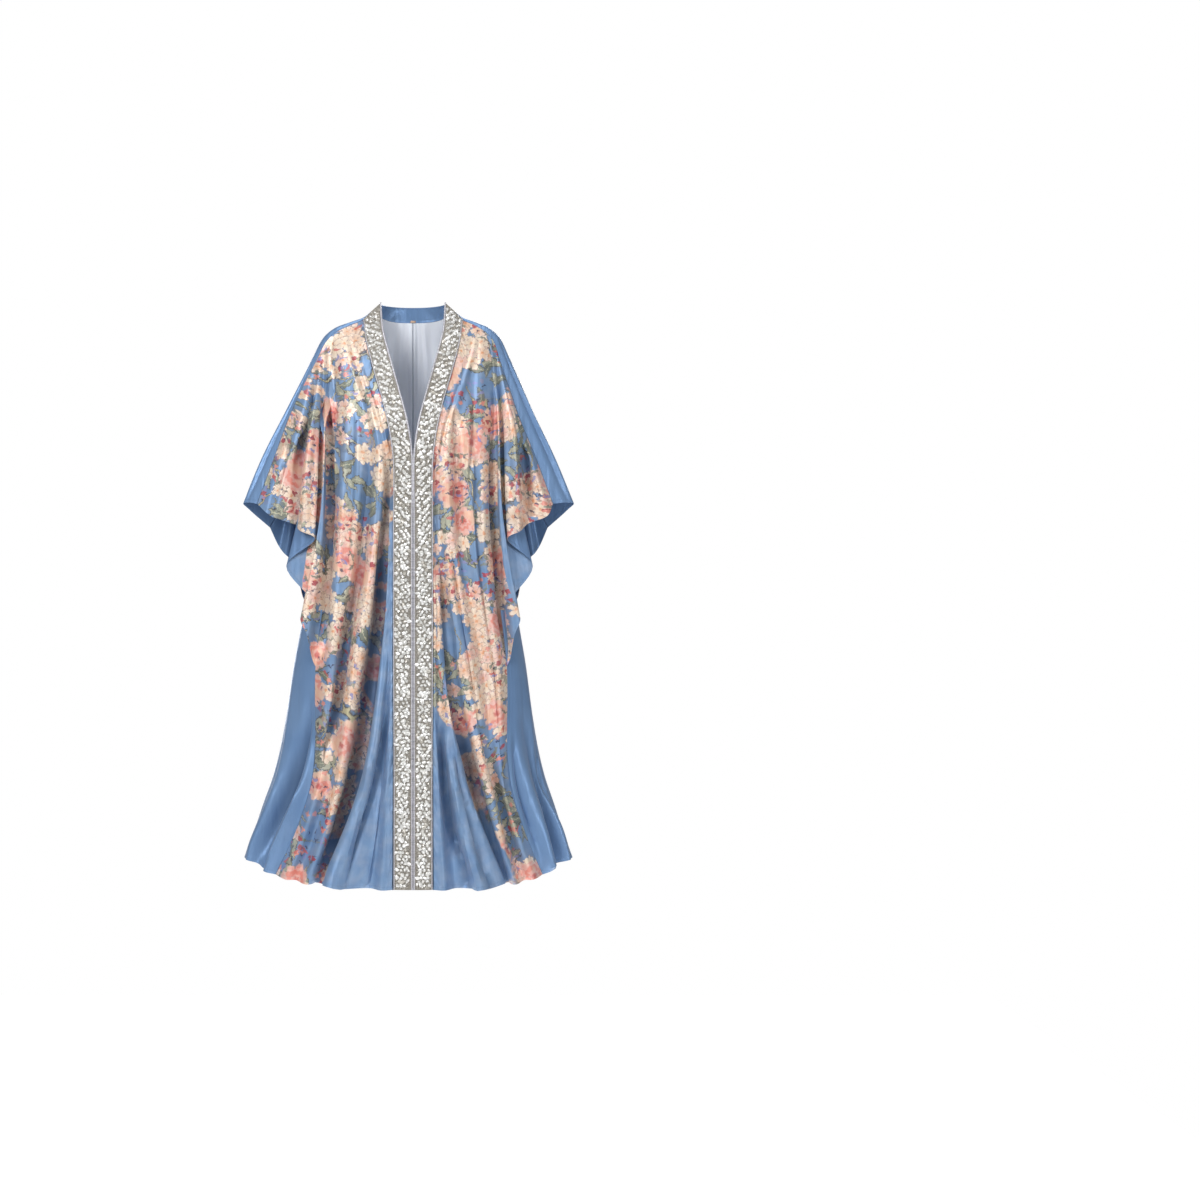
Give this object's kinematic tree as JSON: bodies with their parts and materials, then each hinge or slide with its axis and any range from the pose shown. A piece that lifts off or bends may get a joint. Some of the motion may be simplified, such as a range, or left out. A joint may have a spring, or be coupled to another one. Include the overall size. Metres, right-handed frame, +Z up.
{
  "type": "kaftan",
  "caption": "Full-length kaftan with batwing sleeves, side gores, a stand collar and wide beaded bands down the front; filled out, hollow, open at neck, cuffs and hem.",
  "frame": {"origin": "middle of the shoulder line, where the wearer's shoulders hold the garment", "axes": "+Z up the wearer's spine, +X to the wearer's left, the front faces -Y"},
  "size_m": [0.8158, 0.4512, 1.4101],
  "materials": {
    "floral_satin": "satin with a loose watercolour print of flowers and leaves on pale blue",
    "blue_satin": "plain satin, soft sheen",
    "beaded_band": "dense crystal beads on a grey ground, glossy",
    "lining": "smooth lining, low sheen",
    "loop_cord": "matt cord"
  },
  "bodies": {
    "root": {"front_left": "floral_satin", "front_right": "floral_satin", "back_panel": "floral_satin", "back_side_left": "floral_satin", "back_side_right": "floral_satin", "shoulder_strip_left": "blue_satin", "shoulder_strip_right": "blue_satin", "side_gore_left": "blue_satin", "side_gore_right": "blue_satin", "collar_stand": "blue_satin", "front_placket": "blue_satin", "trim_left": "beaded_band", "trim_right": "beaded_band", "back_lining_left": "lining", "back_lining_right": "lining", "hang_loop": "loop_cord"}
  },
  "joints": []
}
